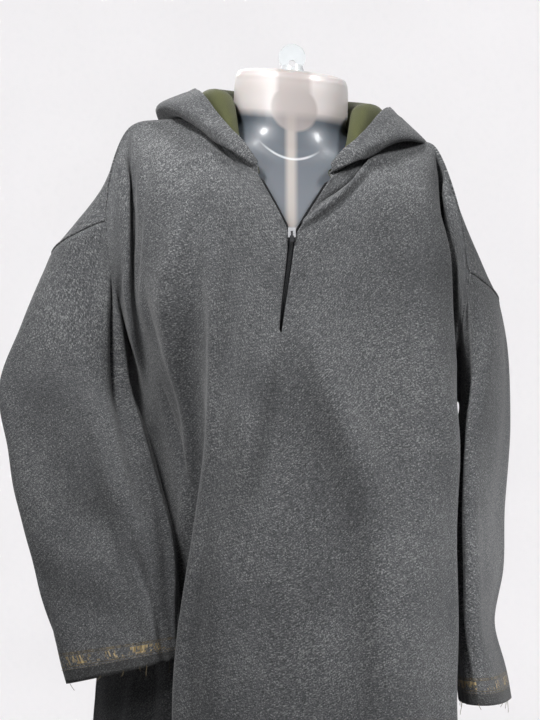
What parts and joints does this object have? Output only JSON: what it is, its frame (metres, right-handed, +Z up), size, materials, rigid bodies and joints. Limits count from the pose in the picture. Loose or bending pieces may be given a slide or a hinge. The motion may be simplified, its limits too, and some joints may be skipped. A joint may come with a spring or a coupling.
{
  "type": "hooded pheran on hanging torso form",
  "caption": "Loose knee-length hooded woollen pheran with a lined hood and a short neck zip, worn by a limbless hanging torso form.",
  "frame": {"origin": "top of the hole in the hanging eye, on the neck of the torso, where a hook carries the whole weight", "axes": "+Z up; the front of the garment faces -Y; +X is the wearer's left"},
  "size_m": [0.5916, 0.3278, 1.1546],
  "materials": {
    "wool": "grey salt-and-pepper twill wool, milled and matt",
    "lining": "olive green plain lining",
    "zip_tape": "black woven tape with a nylon coil",
    "slider_metal": "bright nickel-plated",
    "pull": "black enamel",
    "torso_plastic": "frosted translucent, smooth",
    "fitting_plastic": "clear, glossy"
  },
  "bodies": {
    "garment": {"front": "wool", "back": "wool", "sleeve_right": "wool", "sleeve_left": "wool", "hood_right": "wool", "hood_left": "wool", "hood_lining_right": "lining", "hood_lining_left": "lining", "zip_tape_right": "zip_tape", "zip_tape_left": "zip_tape", "zip_slider": "slider_metal", "torso_form": "torso_plastic", "torso_fitting": "fitting_plastic"},
    "pull": {"zip_pull": "pull"}
  },
  "joints": [
    {"name": "pull_hinge", "type": "hinge", "parent": "garment", "child": "pull", "pos_m": [-0.001, -0.12471, -0.20349], "axis": [-1, 0, 0], "range_deg": [0, 150]}
  ]
}
